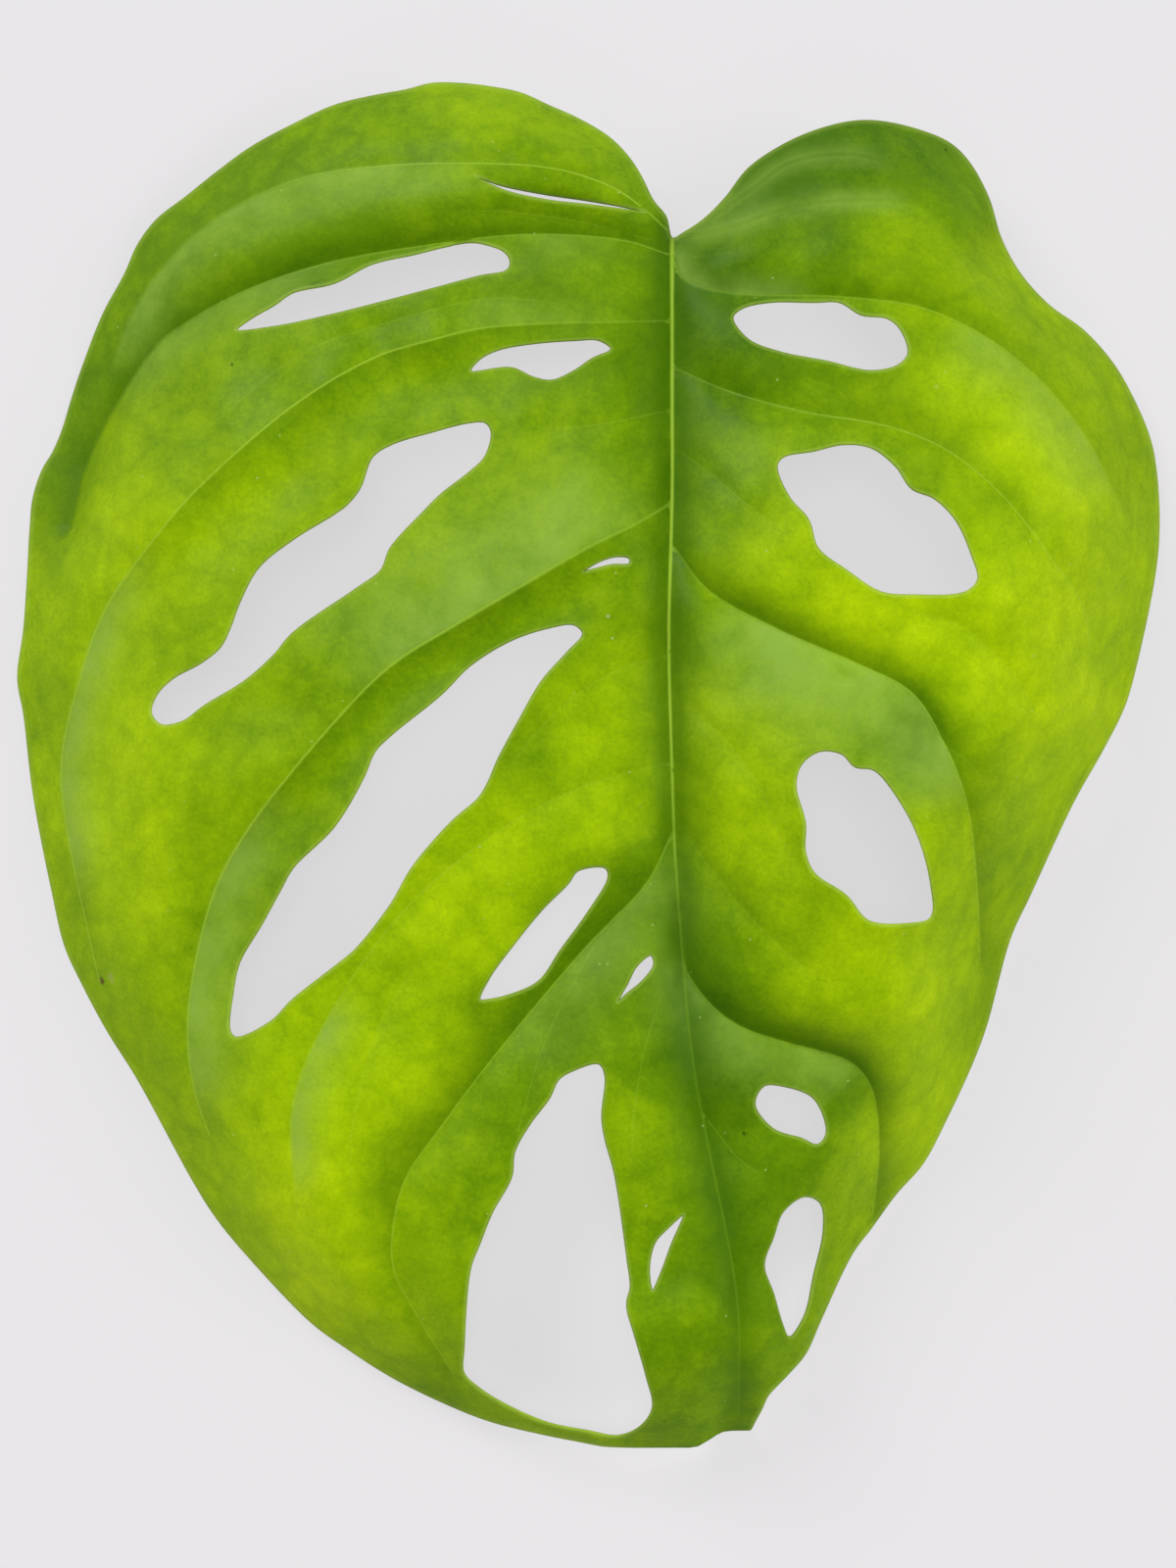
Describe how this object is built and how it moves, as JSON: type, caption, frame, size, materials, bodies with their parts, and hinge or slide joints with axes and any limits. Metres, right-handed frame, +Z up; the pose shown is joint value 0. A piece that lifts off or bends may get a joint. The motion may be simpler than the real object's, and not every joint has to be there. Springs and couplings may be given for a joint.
{
  "type": "monstera leaf",
  "caption": "Picked Swiss cheese vine leaf: a thin heart-shaped blade with holes between its side veins, creased along the veins, lying face up over its folded-back stalk.",
  "frame": {"origin": "on the table under the middle of the leaf's bounding box", "axes": "+Z up out of the leaf's upper face, +Y from the tip to the stalk end, +X to the side that is right when the upper face is seen with its tip down"},
  "size_m": [0.1888, 0.2234, 0.0398],
  "materials": {
    "leaf_blade": "satin",
    "petiole": "satin"
  },
  "bodies": {
    "root": {"leaf_blade": "leaf_blade", "petiole": "petiole"}
  },
  "joints": []
}
